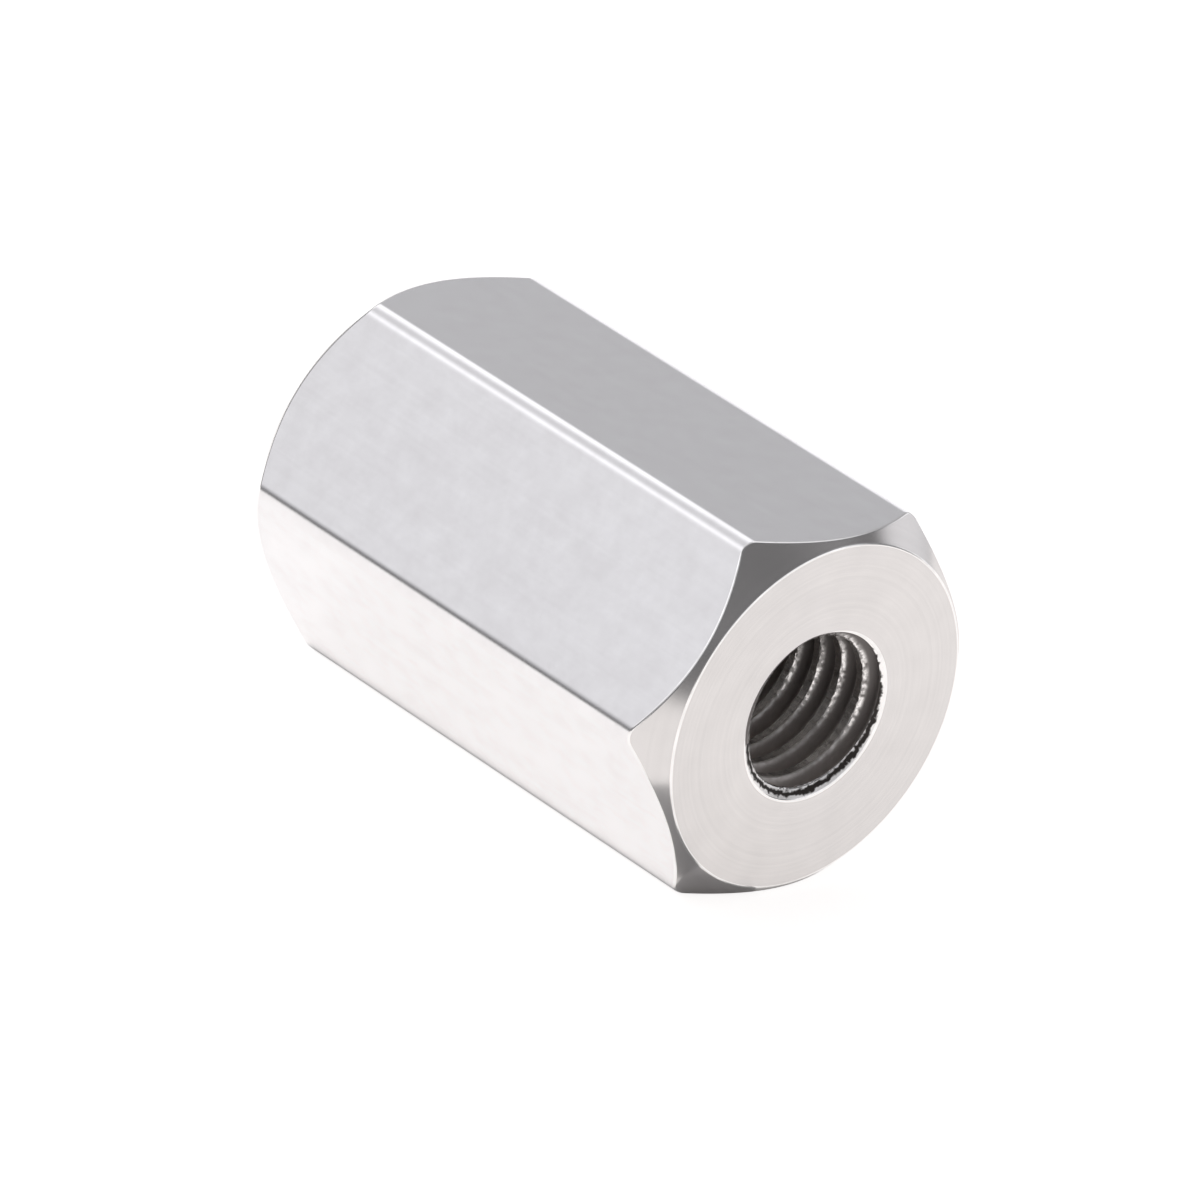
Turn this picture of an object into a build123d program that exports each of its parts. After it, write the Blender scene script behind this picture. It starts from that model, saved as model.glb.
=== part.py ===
"""Hex coupling: a long hexagon nut, tapped right through, that joins two threaded rods end to end.

It is one piece of stainless steel hexagon bar: parted off, turned to a cone at both ends, drilled and tapped.
Millimetres. The origin is the middle of the bore, +X runs along the bore, and +Z is up from the flat it lies on.
"""

import os
from math import radians, tan

from build123d import *

# Drawn hexagon bar
across_flats = 12.0
coupling_length = 20.0
corner_radius = 0.7

# Turned ends: a flat bearing face inside a cone that takes off the corners of the hexagon.
# The cone's angle is measured from the bearing face.
bearing_face_setback = 0.2
end_cone_angle = 45.0

# Tapped hole: metric coarse thread, drilled at its tapping size and bevelled at both mouths
thread_diameter = 6.0
thread_pitch = 1.0
mouth_bevel = 0.35
mouth_cone_angle = 120.0

half_length = coupling_length / 2
bearing_face_radius = across_flats / 2 - bearing_face_setback
tapping_radius = (thread_diameter - thread_pitch) / 2
mouth_radius = tapping_radius + mouth_bevel

# The two end cones, carried on inwards, meet in a rim round the middle that clears the bar
cone_rim_radius = bearing_face_radius + half_length / tan(radians(end_cone_angle))

with BuildPart() as hex_coupling:
    # The bar lies on one flat, with two of its corners level with the bore
    with BuildSketch(Plane.YZ.offset(-half_length)) as bar_section:
        RegularPolygon(radius=across_flats / 2, side_count=6, major_radius=False)
        fillet(bar_section.vertices(), radius=corner_radius)
    extrude(amount=coupling_length)

    # What the lathe leaves of the bar: everything inside the bearing faces and the two cones
    with BuildSketch(Plane.XZ) as turned_profile:
        with BuildLine():
            Polyline(
                (half_length, 0),
                (half_length, bearing_face_radius),
                (0, cone_rim_radius),
                (-half_length, bearing_face_radius),
                (-half_length, 0),
                close=True,
            )
        make_face()
    revolve(axis=Axis.X, mode=Mode.INTERSECT)

    # Drilled through, and bevelled where the bore leaves each bearing face
    with Locations(*hex_coupling.faces().filter_by(Axis.X)):
        CounterSinkHole(
            radius=tapping_radius,
            counter_sink_radius=mouth_radius,
            counter_sink_angle=mouth_cone_angle,
        )

hex_coupling.part.label = "hex_coupling"

os.makedirs("parts", exist_ok=True)
export_step(hex_coupling.part, "parts/hex_coupling.step")
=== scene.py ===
import math

import bmesh
import bpy
from mathutils import Matrix, Vector


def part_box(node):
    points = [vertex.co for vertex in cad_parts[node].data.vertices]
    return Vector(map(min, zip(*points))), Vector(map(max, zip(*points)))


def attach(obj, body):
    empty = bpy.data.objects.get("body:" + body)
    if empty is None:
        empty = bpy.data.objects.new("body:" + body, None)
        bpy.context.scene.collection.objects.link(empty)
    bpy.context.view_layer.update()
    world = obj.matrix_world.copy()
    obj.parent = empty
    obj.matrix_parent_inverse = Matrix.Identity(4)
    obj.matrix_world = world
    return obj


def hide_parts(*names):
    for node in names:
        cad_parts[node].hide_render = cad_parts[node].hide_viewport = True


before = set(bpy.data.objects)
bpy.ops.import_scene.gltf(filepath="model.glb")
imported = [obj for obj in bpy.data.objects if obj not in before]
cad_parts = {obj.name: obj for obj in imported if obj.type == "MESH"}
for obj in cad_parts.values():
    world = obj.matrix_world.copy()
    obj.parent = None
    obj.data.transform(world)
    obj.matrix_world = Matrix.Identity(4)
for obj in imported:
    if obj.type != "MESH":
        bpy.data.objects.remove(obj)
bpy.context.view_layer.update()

# Hexagon bar: cold-drawn stainless steel, pulled through a die that rounds its corners a little and
# leaves bright flats with faint lines along them. The whole coupling is cut from one length of it.
MM = 0.001
node_low, node_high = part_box("hex_coupling")
length = node_high.x - node_low.x
across_flats = node_high.z - node_low.z
half_side_angle = math.pi / 6  # half of one side of a hexagon, seen from its middle
across_corners = across_flats / math.cos(half_side_angle)
corner_radius = 0.7 * MM
corner_steps = 16
corner_profile = 0.536  # a true arc in a corner of 120 degrees
facing_allowance = 2 * MM
die_line_length = 6 * MM
die_line_width = 0.2 * MM  # most real lines are finer than the picture can show
die_line_depth = 0.0003 * MM
mottle_size = 0.9 * MM
mottle_share = 0.75


def linear(hex_colour):
    """An sRGB hex colour as linear RGBA."""
    channels = [int(hex_colour[i : i + 2], 16) / 255 for i in (1, 3, 5)]
    return [c / 12.92 if c <= 0.04045 else ((c + 0.055) / 1.055) ** 2.4 for c in channels] + [1]


def add_node(tree, kind, inputs, **settings):
    """Adds a node with its settings; an input given as a socket is linked, any other is set."""
    made = tree.nodes.new(kind)
    for name, value in settings.items():
        setattr(made, name, value)
    for name, value in inputs.items():
        if isinstance(value, bpy.types.NodeSocket):
            tree.links.new(value, made.inputs[name])
        else:
            made.inputs[name].default_value = value
    return made


def new_material(name):
    """A material with an empty node tree."""
    material = bpy.data.materials.new(name)
    material.use_nodes = True
    material.node_tree.nodes.clear()
    return material, material.node_tree


def choose(piece, kind, wanted=lambda element: True):
    """Goes into edit mode and selects the vertices, edges or faces that pass the test, or all."""
    bpy.ops.object.select_all(action="DESELECT")
    bpy.context.view_layer.objects.active = piece
    piece.select_set(True)
    bpy.ops.object.mode_set(mode="EDIT")
    bpy.ops.mesh.select_mode(type=kind)
    bpy.ops.mesh.select_all(action="DESELECT")
    mesh = bmesh.from_edit_mesh(piece.data)
    for element in {"VERT": mesh.verts, "EDGE": mesh.edges, "FACE": mesh.faces}[kind]:
        if wanted(element):
            element.select_set(True)
    bmesh.update_edit_mesh(piece.data)


def lathe_stock(name, sides, radius, depth):
    """Adds a round or many-sided length of stock along the bore axis, centred on the origin."""
    bpy.ops.object.select_all(action="DESELECT")
    bpy.ops.mesh.primitive_cylinder_add(
        vertices=sides,
        radius=radius,
        depth=depth,
        rotation=(0, math.pi / 2, 0),
    )
    bpy.ops.object.transform_apply(rotation=True)
    stock = bpy.context.object
    stock.name = name
    return stock


def runs_along_bar(edge):
    return abs(edge.verts[0].co.x - edge.verts[1].co.x) > length / 2


# Drawn stainless steel: the die irons the surface to a bright satin, so the flats mirror the room
# softly. Faint lines along the bar and a slight clouding keep each flat from being one plain tone.
drawn_steel, tree = new_material("drawn_stainless_steel")
place = add_node(tree, "ShaderNodeTexCoord", {}).outputs["Object"]
along_bar = add_node(
    tree,
    "ShaderNodeMapping",
    {"Vector": place, "Scale": (1 / die_line_length, 1 / die_line_width, 1 / die_line_width)},
).outputs[0]
lines = add_node(
    tree,
    "ShaderNodeTexNoise",
    {"Vector": along_bar, "Scale": 1, "Detail": 2},
).outputs[0]
mottle = add_node(
    tree,
    "ShaderNodeTexNoise",
    {"Vector": place, "Scale": 1 / mottle_size, "Detail": 5, "Roughness": 0.6},
).outputs[0]
tone = add_node(tree, "ShaderNodeMix", {"Factor": mottle_share, "A": lines, "B": mottle}).outputs[0]
tone = add_node(
    tree,
    "ShaderNodeMapRange",
    {"Value": tone, "From Min": 0.25, "From Max": 0.75},
).outputs[0]
colour = add_node(
    tree,
    "ShaderNodeMix",
    {"Factor": tone, 6: linear("#E7E4E4"), 7: linear("#F3F1F1")},
    data_type="RGBA",
).outputs[2]
roughness = add_node(
    tree,
    "ShaderNodeMapRange",
    {"Value": tone, "To Min": 0.235, "To Max": 0.205},
).outputs[0]
ridges = add_node(tree, "ShaderNodeBump", {"Height": lines, "Distance": die_line_depth}).outputs[0]
steel = add_node(
    tree,
    "ShaderNodeBsdfPrincipled",
    {"Base Color": colour, "Metallic": 1, "Roughness": roughness, "Normal": ridges},
).outputs[0]
add_node(tree, "ShaderNodeOutputMaterial", {"Surface": steel})

coupling = lathe_stock("threaded_coupling", 6, across_corners / 2, length + 2 * facing_allowance)
coupling.data.materials.append(drawn_steel)
choose(coupling, "EDGE", runs_along_bar)
bpy.ops.mesh.bevel(
    offset=corner_radius * math.tan(half_side_angle),
    offset_type="OFFSET",
    segments=corner_steps,
    profile=corner_profile,
    clamp_overlap=False,
    affect="EDGES",
)
bpy.ops.object.mode_set(mode="OBJECT")

# Turned ends: the lathe faces each end flat and runs a 45 degree cone off the corners of the
# hexagon. Its tool leaves fine rings, and each cut surface takes the finish of its own tool.
bearing_face_setback = 0.2 * MM
bearing_face_radius = across_flats / 2 - bearing_face_setback
turned_steps = 288
ring_width = 0.14 * MM  # the real feed is finer than the picture can show
ring_depth = 0.0007 * MM
streak_size = 1.1 * MM
streak_share = 0.6


def machine(piece, tool, operation):
    """Cuts the piece with a tool, as lathe, drill and tap do, and puts the tool away."""
    bpy.ops.object.select_all(action="DESELECT")
    bpy.context.view_layer.objects.active = piece
    bpy.ops.object.modifier_add(type="BOOLEAN")
    cut = piece.modifiers[-1]
    cut.operation = operation
    cut.solver = "EXACT"
    cut.material_mode = "TRANSFER"
    cut.object = tool
    bpy.ops.object.modifier_apply(modifier=cut.name)
    bpy.data.objects.remove(tool)


def on_end_rim(edge):
    return abs(edge.verts[0].co.x - edge.verts[1].co.x) < length / 2


def from_bore_axis(tree, place):
    """The line from the bore axis out to each point of the surface, and its length."""
    outwards = add_node(
        tree,
        "ShaderNodeVectorMath",
        {0: place, 1: (0, 1, 1)},
        operation="MULTIPLY",
    ).outputs[0]
    reach = add_node(tree, "ShaderNodeVectorMath", {0: outwards}, operation="LENGTH")
    return outwards, reach.outputs["Value"]


# Turned stainless steel: the tool leaves rings too fine to count, which stretch each reflection
# across them. The face reads as warm and matt, with faint rings and soft streaks.
turned_steel, tree = new_material("turned_stainless_steel")
place = add_node(tree, "ShaderNodeTexCoord", {}).outputs["Object"]
outwards, radius = from_bore_axis(tree, place)
rings = add_node(
    tree,
    "ShaderNodeTexNoise",
    {"W": radius, "Scale": 1 / ring_width, "Detail": 2},
    noise_dimensions="1D",
).outputs[0]
streaks = add_node(
    tree,
    "ShaderNodeTexNoise",
    {"Vector": place, "Scale": 1 / streak_size, "Detail": 2},
).outputs[0]
tone = add_node(
    tree,
    "ShaderNodeMix",
    {"Factor": streak_share, "A": rings, "B": streaks},
).outputs[0]
colour = add_node(
    tree,
    "ShaderNodeMix",
    {"Factor": tone, 6: linear("#D4D0CE"), 7: linear("#E5E1DF")},
    data_type="RGBA",
).outputs[2]
ridges = add_node(tree, "ShaderNodeBump", {"Height": rings, "Distance": ring_depth}).outputs[0]
steel = add_node(
    tree,
    "ShaderNodeBsdfPrincipled",
    {
        "Base Color": colour,
        "Metallic": 1,
        "Roughness": 0.27,
        "Anisotropic": 0.85,
        "Tangent": outwards,
        "Normal": ridges,
    },
).outputs[0]
add_node(tree, "ShaderNodeOutputMaterial", {"Surface": steel})

envelope_radius = across_corners / 2 + facing_allowance
envelope = lathe_stock("turned_envelope", turned_steps, envelope_radius, length)
envelope.data.materials.append(turned_steel)
choose(envelope, "EDGE", on_end_rim)
bpy.ops.mesh.bevel(
    offset=envelope_radius - bearing_face_radius,
    offset_type="OFFSET",
    segments=1,
    clamp_overlap=False,
    affect="EDGES",
)
bpy.ops.object.mode_set(mode="OBJECT")
machine(coupling, envelope, "INTERSECT")

# Bore: drilled right through, with a shallow 120 degree countersink at each mouth so that the tap
# starts true. Tumbling then breaks every edge that the lathe leaves by a hair and burnishes it,
# and the rounding is painted paler than the faces, partly as a painted highlight.
tapping_radius = 2.5 * MM
mouth_radius = 2.85 * MM
countersink_angle = math.radians(120)
mouth_slope = math.tan(countersink_angle / 2)
countersink_reach = 0.5 * MM
edge_break = 0.05 * MM
edge_steps = 3
merge_distance = 0.03 * MM
sharp_angle = math.radians(25)
nick_size = 0.4 * MM
# The countersink's ring of painted shade: the size and wander of its ragged edge, its radius, core
# and soft edge.
ring_fray_size = 0.2 * MM
ring_wander = 0.3 * MM
shade_band_radius = 2.66 * MM
shade_band_core = 0.05 * MM
shade_band_edge = 0.1 * MM


def break_edges(piece, width, steps, finish):
    """Rounds every sharp edge of the piece a little and gives the rounding a finish."""
    if finish.name not in piece.data.materials:
        piece.data.materials.append(finish)
    bpy.ops.object.select_all(action="DESELECT")
    bpy.context.view_layer.objects.active = piece
    bpy.ops.object.modifier_add(type="BEVEL")
    rounding = piece.modifiers[-1]
    rounding.limit_method = "ANGLE"
    rounding.angle_limit = sharp_angle
    rounding.width = width
    rounding.segments = steps
    rounding.material = piece.data.materials.find(finish.name)
    rounding.use_clamp_overlap = False
    bpy.ops.object.modifier_apply(modifier=rounding.name)


# Burnished stainless steel: tumbling rubs the edges smooth but for small nicks, so each edge shows
# as a thin bright line that glints unevenly. Its colour is paler than the faces', partly as a
# painted highlight on the edges.
burnished_highlight_steel, tree = new_material("burnished_steel_painted_highlight")
place = add_node(tree, "ShaderNodeTexCoord", {}).outputs["Object"]
nicks = add_node(
    tree,
    "ShaderNodeTexNoise",
    {"Vector": place, "Scale": 1 / nick_size, "Detail": 2},
).outputs[0]
# Partly painted highlight: the edge colour runs paler than the steel of the faces.
colour = add_node(
    tree,
    "ShaderNodeMix",
    {"Factor": nicks, 6: linear("#E8E5E3"), 7: linear("#FFFDFB")},
    data_type="RGBA",
).outputs[2]
roughness = add_node(
    tree,
    "ShaderNodeMapRange",
    {"Value": nicks, "To Min": 0.3, "To Max": 0.1},
).outputs[0]
steel = add_node(
    tree,
    "ShaderNodeBsdfPrincipled",
    {"Base Color": colour, "Metallic": 1, "Roughness": roughness},
).outputs[0]
add_node(tree, "ShaderNodeOutputMaterial", {"Surface": steel})

# Countersunk stainless steel: the bevel is bright, with a ragged dark ring of painted shade round
# it.
countersink_steel, tree = new_material("countersink_steel_painted_shade_ring")
place = add_node(tree, "ShaderNodeTexCoord", {}).outputs["Object"]
radius = from_bore_axis(tree, place)[1]
marks = add_node(
    tree,
    "ShaderNodeTexNoise",
    {"Vector": place, "Scale": 1 / ring_fray_size, "Detail": 3},
).outputs[0]
ragged = add_node(
    tree,
    "ShaderNodeMath",
    {0: marks, 1: ring_wander, 2: radius},
    operation="MULTIPLY_ADD",
).outputs[0]
# Painted shade: a dark ring at a set radius from the bore axis, made ragged by noise.
off_band = add_node(
    tree,
    "ShaderNodeMath",
    {0: ragged, 1: shade_band_radius + ring_wander / 2},
    operation="SUBTRACT",
).outputs[0]
off_band = add_node(tree, "ShaderNodeMath", {0: off_band}, operation="ABSOLUTE").outputs[0]
tone = add_node(
    tree,
    "ShaderNodeMapRange",
    {"Value": off_band, "From Min": shade_band_core, "From Max": shade_band_edge},
).outputs[0]
colour = add_node(
    tree,
    "ShaderNodeMix",
    {"Factor": tone, 6: linear("#3E3A38"), 7: linear("#FBF8F6")},
    data_type="RGBA",
).outputs[2]
roughness = add_node(
    tree,
    "ShaderNodeMapRange",
    {"Value": tone, "To Min": 0.5, "To Max": 0.35},
).outputs[0]
steel = add_node(
    tree,
    "ShaderNodeBsdfPrincipled",
    {"Base Color": colour, "Metallic": 1, "Roughness": roughness},
).outputs[0]
add_node(tree, "ShaderNodeOutputMaterial", {"Surface": steel})

for end in (-1, 1):
    bpy.ops.object.select_all(action="DESELECT")
    bpy.ops.mesh.primitive_cone_add(
        vertices=turned_steps,
        radius1=mouth_radius - mouth_slope * countersink_reach,
        radius2=mouth_radius + mouth_slope * countersink_reach,
        depth=2 * countersink_reach,
        location=(end * length / 2, 0, 0),
        rotation=(0, end * math.pi / 2, 0),
    )
    bpy.ops.object.transform_apply(location=True, rotation=True)
    countersink = bpy.context.object
    countersink.data.materials.append(countersink_steel)
    machine(coupling, countersink, "DIFFERENCE")
drill = lathe_stock("drill", turned_steps, tapping_radius, length + 2 * facing_allowance)
drill.data.materials.append(burnished_highlight_steel)
machine(coupling, drill, "DIFFERENCE")
choose(coupling, "VERT")
bpy.ops.mesh.remove_doubles(threshold=merge_distance)
bpy.ops.object.mode_set(mode="OBJECT")
break_edges(coupling, edge_break, edge_steps, burnished_highlight_steel)

# Thread: a right-hand metric coarse thread, cut right through by a tap. The groove is a 60 degree
# vee with a narrow flat at its root. A dull film of cutting oil stays in it; its colour is painted
# shade and light, darker towards the top of the bore and paler towards its bottom, and the torn
# ridge tops are bright.
pitch = 1.0 * MM
thread_radius = 3.0 * MM
root_flat = pitch / 8
tap_clearance = 0.01 * MM
core_radius = tapping_radius - tap_clearance
groove_depth = thread_radius - core_radius
flank_angle = math.radians(30)
flank_run = groove_depth * math.tan(flank_angle)
ridge_flat = pitch - root_flat - 2 * flank_run
groove_start_angle = math.radians(138)
thread_turns = 24
turns_past_near_end = 3
thread_steps = 120
seam_gap = 0.001 * MM
ridge_rounding = 0.055 * MM
ridge_steps = 3
burnish_depth = 0.22 * MM
fleck_size = 0.18 * MM
tear = 0.01 * MM
tear_seed = 3
sliver = 0.0005 * MM
smooth_angle = math.radians(4.2)


def on_ridge_top(corner):
    inside = abs(corner.co.x) < length / 2 - edge_break
    return inside and math.hypot(corner.co.y, corner.co.z) < tapping_radius + ridge_rounding / 2


# Tapped stainless steel: the tap tears and rubs the ridge tops, so they glint in flecks, and the
# oil makes the flanks dull. Below the pale ridge tops the grooves are painted darker, partly as
# painted shade in the recess. The flanks are painted shade, darker in the upper half of the bore,
# and painted light, paler at its bottom, where the ridge tops are painted to glint less.
tapped_steel, tree = new_material("tapped_stainless_steel")
place = add_node(tree, "ShaderNodeTexCoord", {}).outputs["Object"]
radius = from_bore_axis(tree, place)[1]
# Partly painted shade: the ridge tops stay pale, and the groove below them is painted darker by its
# depth.
burnished_and_groove_shade = add_node(
    tree,
    "ShaderNodeMapRange",
    {
        "Value": radius,
        "From Min": tapping_radius + burnish_depth,
        "From Max": tapping_radius + burnish_depth / 3,
    },
    interpolation_type="SMOOTHSTEP",
).outputs[0]
flecks = add_node(
    tree,
    "ShaderNodeTexNoise",
    {"Vector": place, "Scale": 1 / fleck_size, "Detail": 3},
).outputs[0]
worn = add_node(
    tree,
    "ShaderNodeMapRange",
    {"Value": flecks, "From Min": 0.3, "From Max": 0.6},
).outputs[0]
# Painted light and shade by height: the flanks are darker towards the top of the bore and paler
# towards its bottom.
height = add_node(tree, "ShaderNodeSeparateXYZ", {"Vector": place}).outputs["Z"]
painted_shade_by_height = add_node(
    tree,
    "ShaderNodeMapRange",
    {"Value": height, "From Min": -thread_radius, "From Max": 0},
    interpolation_type="SMOOTHSTEP",
).outputs[0]
# Painted shade: the ridge tops glint less towards the bottom of the bore.
painted_glint_dimming_low = add_node(tree, "ShaderNodeMapRange", {"Value": painted_shade_by_height, "To Min": 0.3}).outputs[0]
clean_and_unshaded = add_node(tree, "ShaderNodeMath", {0: burnished_and_groove_shade, 1: worn}, operation="MULTIPLY").outputs[0]
clean_and_unshaded = add_node(tree, "ShaderNodeMath", {0: clean_and_unshaded, 1: painted_glint_dimming_low}, operation="MULTIPLY").outputs[0]
oil_film_painted_shade = add_node(
    tree,
    "ShaderNodeMix",
    {"Factor": painted_shade_by_height, 6: linear("#DAD2CD"), 7: linear("#948D8A")},
    data_type="RGBA",
).outputs[2]
colour = add_node(
    tree,
    "ShaderNodeMix",
    {"Factor": clean_and_unshaded, 6: oil_film_painted_shade, 7: linear("#F4F0ED")},
    data_type="RGBA",
).outputs[2]
roughness = add_node(
    tree,
    "ShaderNodeMapRange",
    {"Value": clean_and_unshaded, "To Min": 0.5, "To Max": 0.16},
).outputs[0]
bare = add_node(tree, "ShaderNodeMapRange", {"Value": clean_and_unshaded, "To Min": 0.45}).outputs[0]
steel = add_node(
    tree,
    "ShaderNodeBsdfPrincipled",
    {"Base Color": colour, "Metallic": bare, "Roughness": roughness},
).outputs[0]
add_node(tree, "ShaderNodeOutputMaterial", {"Surface": steel})

first_ridge = (
    length / 2
    - pitch * (groove_start_angle / math.tau)
    - pitch / 2
    - (thread_turns - turns_past_near_end) * pitch
)
bpy.ops.object.select_all(action="DESELECT")
bpy.ops.mesh.primitive_plane_add(size=pitch, location=(first_ridge, core_radius, 0))
bpy.ops.object.transform_apply(location=True)
tap = bpy.context.object
tap.data.materials.append(tapped_steel)
choose(tap, "VERT")
bpy.ops.mesh.merge(type="CENTER")
for run, rise in (
    (ridge_flat / 2, 0),
    (flank_run, groove_depth),
    (root_flat, 0),
    (flank_run, -groove_depth),
    (ridge_flat / 2, 0),
):
    bpy.ops.mesh.extrude_region_move(TRANSFORM_OT_translate={"value": (run, rise, 0)})
bpy.ops.object.mode_set(mode="OBJECT")
bpy.ops.object.modifier_add(type="SCREW")
winding = tap.modifiers[-1]
winding.axis = "X"
winding.angle = math.tau
winding.screw_offset = pitch
winding.iterations = thread_turns
winding.steps = thread_steps
winding.render_steps = thread_steps
bpy.ops.object.modifier_apply(modifier=winding.name)
choose(tap, "VERT")
bpy.ops.mesh.remove_doubles(threshold=seam_gap)
bpy.ops.object.mode_set(mode="OBJECT")
break_edges(tap, ridge_rounding, ridge_steps, tapped_steel)
for end in (-1, 1):
    choose(tap, "EDGE", lambda edge: edge.is_boundary and edge.verts[0].co.x * end > 0)
    bpy.ops.mesh.extrude_region_move()
    bpy.ops.mesh.merge(type="COLLAPSE")
    bpy.ops.object.mode_set(mode="OBJECT")
choose(tap, "FACE")
bpy.ops.mesh.normals_make_consistent(inside=False)
bpy.ops.object.mode_set(mode="OBJECT")
machine(coupling, tap, "DIFFERENCE")
choose(coupling, "VERT", on_ridge_top)
bpy.ops.transform.vertex_random(offset=tear, uniform=0.3, normal=0.0, seed=tear_seed)
bpy.ops.object.mode_set(mode="OBJECT")
choose(coupling, "FACE")
bpy.ops.mesh.dissolve_degenerate(threshold=sliver)
bpy.ops.object.mode_set(mode="OBJECT")

bpy.ops.object.select_all(action="DESELECT")
coupling.select_set(True)
bpy.context.view_layer.objects.active = coupling
bpy.ops.object.shade_smooth_by_angle(angle=smooth_angle)
bpy.ops.object.modifier_add(type="WEIGHTED_NORMAL")
evening = coupling.modifiers[-1]
evening.keep_sharp = True
bpy.ops.object.modifier_apply(modifier=evening.name)

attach(coupling, "root")
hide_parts("hex_coupling")

# Floor: a sheet of white paper that the coupling lies on, a little askew. It shows white to the
# camera and in the steel. In the steel its white carries a painted contact shadow where the
# coupling nearly touches it, and the paper keeps its real shadow.
floor_gap = 0.02 * MM
sheet_size = 600 * MM
sheet_front = 56 * MM
contact_reach = 0.3 * MM
contact_samples = 2
paper_white = 0.865
askew = Matrix.Rotation(math.radians(-12), 4, "Z")
bpy.ops.object.select_all(action="DESELECT")
bpy.ops.mesh.primitive_plane_add(
    size=sheet_size,
    location=askew @ Vector((0, sheet_size / 2 - sheet_front, node_low.z - floor_gap)),
    rotation=askew.to_euler(),
)
floor = bpy.context.object
floor.name = "floor"

# White paper: uncoated and matt, so it is one even white with a soft shadow and no gloss.
paper, tree = new_material("white_paper")
rays = add_node(tree, "ShaderNodeLightPath", {}).outputs
# Painted contact shadow: ambient occlusion darkens the paper's glow as the steel sees it.
painted_contact_shadow = add_node(
    tree,
    "ShaderNodeAmbientOcclusion",
    {"Distance": contact_reach},
    samples=contact_samples,
).outputs["AO"]
in_steel = add_node(
    tree,
    "ShaderNodeMath",
    {0: rays["Is Glossy Ray"], 1: rays["Is Transmission Ray"]},
    operation="MAXIMUM",
).outputs[0]
in_steel = add_node(
    tree,
    "ShaderNodeMath",
    {0: in_steel, 1: painted_contact_shadow},
    operation="MULTIPLY",
).outputs[0]
seen = add_node(
    tree,
    "ShaderNodeMath",
    {0: rays["Is Camera Ray"], 1: in_steel},
    operation="MAXIMUM",
).outputs[0]
glow = add_node(tree, "ShaderNodeMath", {0: seen, 1: paper_white}, operation="MULTIPLY").outputs[0]
white = add_node(
    tree,
    "ShaderNodeEmission",
    {"Color": linear("#FFFDFC"), "Strength": glow},
).outputs[0]
lit = add_node(tree, "ShaderNodeBsdfDiffuse", {"Color": linear("#B8B8B8")}).outputs[0]
both = add_node(tree, "ShaderNodeAddShader", {0: lit, 1: white}).outputs[0]
add_node(tree, "ShaderNodeOutputMaterial", {"Surface": both})
floor.data.materials.append(paper)

# Painted shadow: two strips of grey card laid at the foot of the near end stand in for shade on the
# floor there. Only the steel sees them, and they keep the lower corner cone dark. The card is matt,
# so the steel mirrors one plain tone.
painted_shadow_strips = (
    # centre x and y, length and width (mm), turn (degrees), colour
    (11.85, -6.25, 6.4, 3.4, -75, "#CCCCCC"),
    (9.56, -2.2, 1.6, 2.7, 0, "#F2F2F2"),
)
for x, y, long, wide, turned, grey in painted_shadow_strips:
    painted_shadow_card, tree = new_material("painted_shadow_card")
    dull = add_node(tree, "ShaderNodeBsdfDiffuse", {"Color": linear(grey)}).outputs[0]
    add_node(tree, "ShaderNodeOutputMaterial", {"Surface": dull})
    bpy.ops.object.select_all(action="DESELECT")
    bpy.ops.mesh.primitive_plane_add(
        size=MM,
        location=(x * MM, y * MM, node_low.z),
        rotation=(0, 0, math.radians(turned)),
    )
    painted_shadow_strip = bpy.context.object
    painted_shadow_strip.name = "painted_shadow_strip"
    painted_shadow_strip.scale = (long, wide, 1)
    painted_shadow_strip.data.materials.append(painted_shadow_card)
    painted_shadow_strip.visible_camera = False
    painted_shadow_strip.visible_diffuse = False
    painted_shadow_strip.visible_shadow = False

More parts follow.
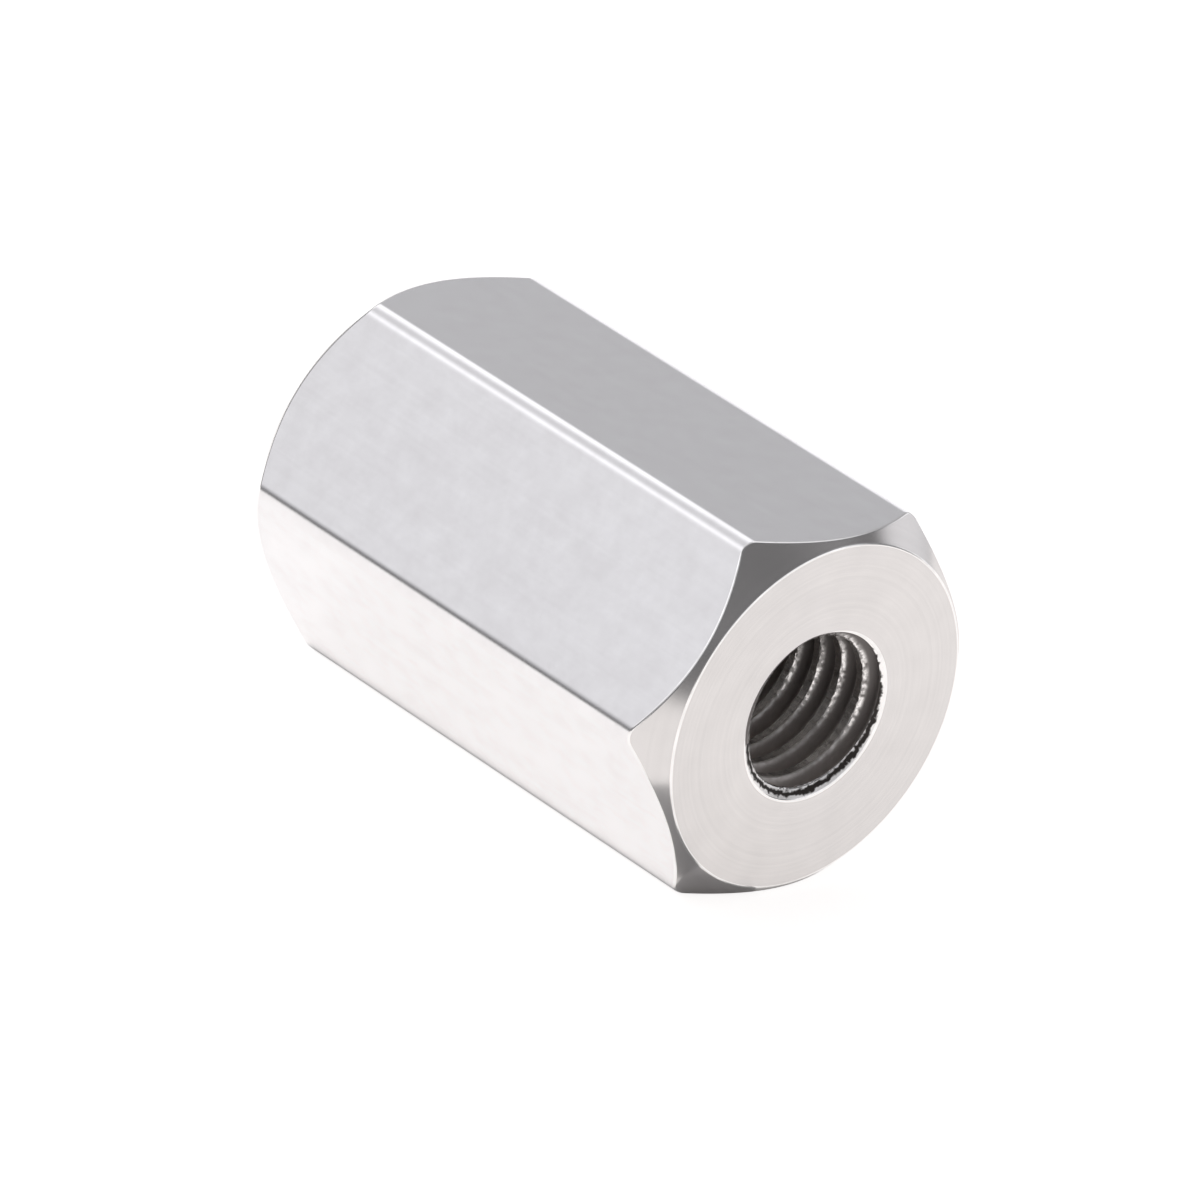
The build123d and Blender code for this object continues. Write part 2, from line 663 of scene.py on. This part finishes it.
# Studio light: soft boxes round the coupling, most of them on its left, in a dim room. The backdrop
# is plain white to the camera.
room_light = 0.18
soft_lights = (
    # azimuth from +X, elevation, full out to, gone beyond (degrees), strength
    (228, 31, 1.6, 30.7, 0.775),
    (158, 32, 10.8, 19.4, 0.71),
    (180, 57, 23.7, 41.9, 0.59),
    (86, 12, 9, 22, 0.9),
    (124, 23, 15.9, 27.7, 0.285),
    (107, 60, 10, 22, 0.8),
    (263, 31, 15, 25, 0.6),
    (131, 2, 12, 17, 0.8),
    (30, 7, 12, 18, 0.8),
    (4, 8, 9, 15, 0.8),
    (42, 20, 7, 15, 0.4),
)
world = bpy.data.worlds.new("studio")
bpy.context.scene.world = world
world.use_nodes = True
tree = world.node_tree
tree.nodes.clear()
direction = add_node(tree, "ShaderNodeTexCoord", {}).outputs["Generated"]
level = room_light
for *angles, strength in soft_lights:
    azimuth, elevation, inner, outer = (math.radians(angle) for angle in angles)
    flat = math.cos(elevation)
    towards = (flat * math.cos(azimuth), flat * math.sin(azimuth), math.sin(elevation))
    facing = add_node(
        tree,
        "ShaderNodeVectorMath",
        {0: direction, 1: towards},
        operation="DOT_PRODUCT",
    ).outputs["Value"]
    box = add_node(
        tree,
        "ShaderNodeMapRange",
        {
            "Value": facing,
            "From Min": math.cos(outer),
            "From Max": math.cos(inner),
            "To Max": strength,
        },
        interpolation_type="SMOOTHSTEP",
    ).outputs[0]
    level = add_node(tree, "ShaderNodeMath", {0: level, 1: box}, operation="ADD").outputs[0]
studio = add_node(
    tree,
    "ShaderNodeBackground",
    {"Color": linear("#FAFBFF"), "Strength": level},
).outputs[0]
backdrop = add_node(
    tree,
    "ShaderNodeBackground",
    {"Color": linear("#FFFFFF"), "Strength": 1},
).outputs[0]
to_camera = add_node(tree, "ShaderNodeLightPath", {}).outputs["Is Camera Ray"]
shown = add_node(tree, "ShaderNodeMixShader", {0: to_camera, 1: studio, 2: backdrop}).outputs[0]
add_node(tree, "ShaderNodeOutputWorld", {"Surface": shown})

# Camera: a long lens, so that the two ends look nearly the same size. It looks down on the coupling
# from its near end and is turned a little about its line of sight.
azimuth = math.radians(44.69)
elevation = math.radians(23.77)
tilt = math.radians(11.18)
distance = 372.6 * MM
aim = Vector((0.13, -0.22, -0.56)) * MM
turn = Matrix.Rotation(azimuth, 4, "Z") @ Matrix.Rotation(math.pi / 2 - elevation, 4, "X")
camera_data = bpy.data.cameras.new("camera")
camera_data.lens = 359.1
camera_data.sensor_width = 36
camera_data.clip_end = 10
camera = bpy.data.objects.new("camera", camera_data)
bpy.context.scene.collection.objects.link(camera)
back = turn @ Vector((0, 0, distance))
camera.matrix_world = Matrix.Translation(aim + back) @ turn @ Matrix.Rotation(tilt, 4, "Z")
bpy.context.scene.camera = camera
bpy.context.scene.view_settings.view_transform = "Standard"
